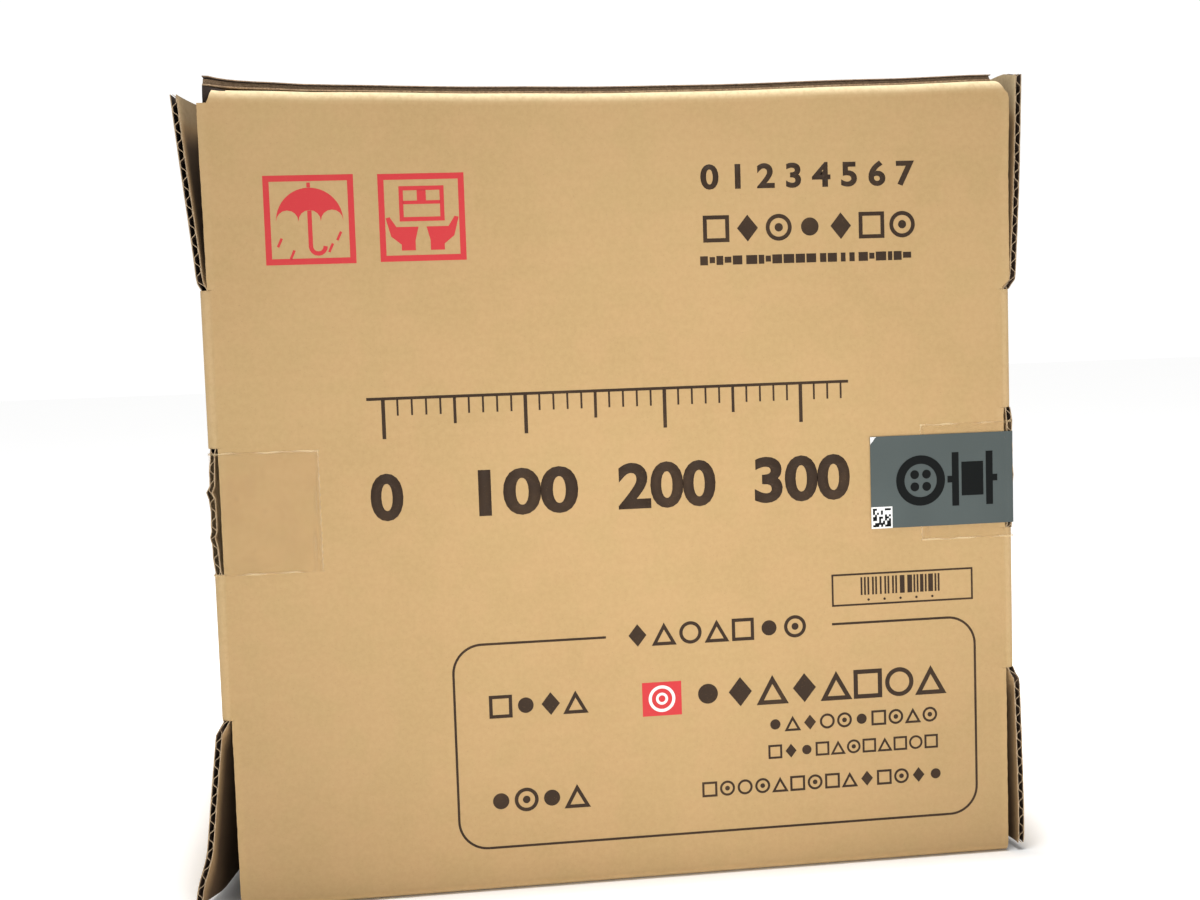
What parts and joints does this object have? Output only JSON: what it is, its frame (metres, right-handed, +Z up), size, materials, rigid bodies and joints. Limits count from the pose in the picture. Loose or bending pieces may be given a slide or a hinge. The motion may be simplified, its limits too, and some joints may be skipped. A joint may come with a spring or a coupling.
{
  "type": "cable spool box",
  "caption": "Corrugated carton that opens at the back, with a spool of network cable turning on an axle inside and a payout grommet in one side.",
  "frame": {"origin": "centre of the bottom panel's underside, on the floor", "axes": "+Z up, the printed front faces -Y, +X to the right when the front is seen"},
  "size_m": [0.3509, 0.2204, 0.3336],
  "materials": {
    "kraft_board": "matt kraft liner",
    "black_plastic": "moulded, fine texture",
    "zinc_steel": "zinc plated",
    "clear_tape": "clear packing tape",
    "grey_label": "semi-gloss coated paper",
    "white_label": "coated paper",
    "hardboard": "pressed hardboard",
    "paper_tube": "spiral-wound paper tube",
    "cable_jacket": "PVC jacket",
    "banding": "smooth strip"
  },
  "bodies": {
    "carton": {"front_panel": "kraft_board", "bottom_panel": "kraft_board", "top_inner_panel": "kraft_board", "left_side_wall": "kraft_board", "right_side_wall": "kraft_board", "left_bottom_tab": "kraft_board", "right_bottom_tab": "kraft_board", "left_top_tab": "kraft_board", "right_top_tab": "kraft_board", "front_cradle_board": "kraft_board", "rear_cradle_board": "kraft_board", "front_axle_bush": "black_plastic", "rear_axle_bush": "black_plastic", "axle_tube": "zinc_steel", "payout_grommet": "black_plastic", "grommet_ring": "black_plastic", "left_clear_tape": "clear_tape", "right_clear_tape": "clear_tape", "colour_label": "grey_label", "code_label": "white_label"},
    "lid": {"back_panel": "kraft_board"},
    "top_flap": {"top_outer_flap": "kraft_board"},
    "left_dust": {"left_dust_flap": "kraft_board"},
    "right_dust": {"right_dust_flap": "kraft_board"},
    "spool": {"spool_front_flange": "hardboard", "spool_rear_flange": "hardboard", "spool_core": "paper_tube", "wound_cable": "cable_jacket", "cable_end_band": "banding", "tie_rod_1": "zinc_steel", "tie_rod_2": "zinc_steel", "tie_rod_3": "zinc_steel", "tie_rod_4": "zinc_steel"}
  },
  "joints": [
    {"name": "lid_hinge", "type": "hinge", "parent": "carton", "child": "lid", "pos_m": [0, 0.11, 0], "axis": [-1, 0, 0], "range_deg": [0, 90]},
    {"name": "top_flap_hinge", "type": "hinge", "parent": "lid", "child": "top_flap", "pos_m": [0, 0.11, 0.3336], "axis": [-1, 0, 0], "range_deg": [0, 90]},
    {"name": "left_dust_hinge", "type": "hinge", "parent": "carton", "child": "left_dust", "pos_m": [-0.1675, 0.1066, 0.1651], "axis": [0, 0, 1], "range_deg": [0, 90]},
    {"name": "right_dust_hinge", "type": "hinge", "parent": "carton", "child": "right_dust", "pos_m": [0.1675, 0.1066, 0.1651], "axis": [0, 0, -1], "range_deg": [0, 90]},
    {"name": "spool_spin", "type": "hinge", "parent": "carton", "child": "spool", "pos_m": [0, 0, 0.1651], "axis": [0, 1, 0], "continuous": true}
  ],
  "couplings": [
    {"joint": "left_dust_hinge", "follows": "lid_hinge", "ratio": 1},
    {"joint": "right_dust_hinge", "follows": "lid_hinge", "ratio": 1}
  ]
}
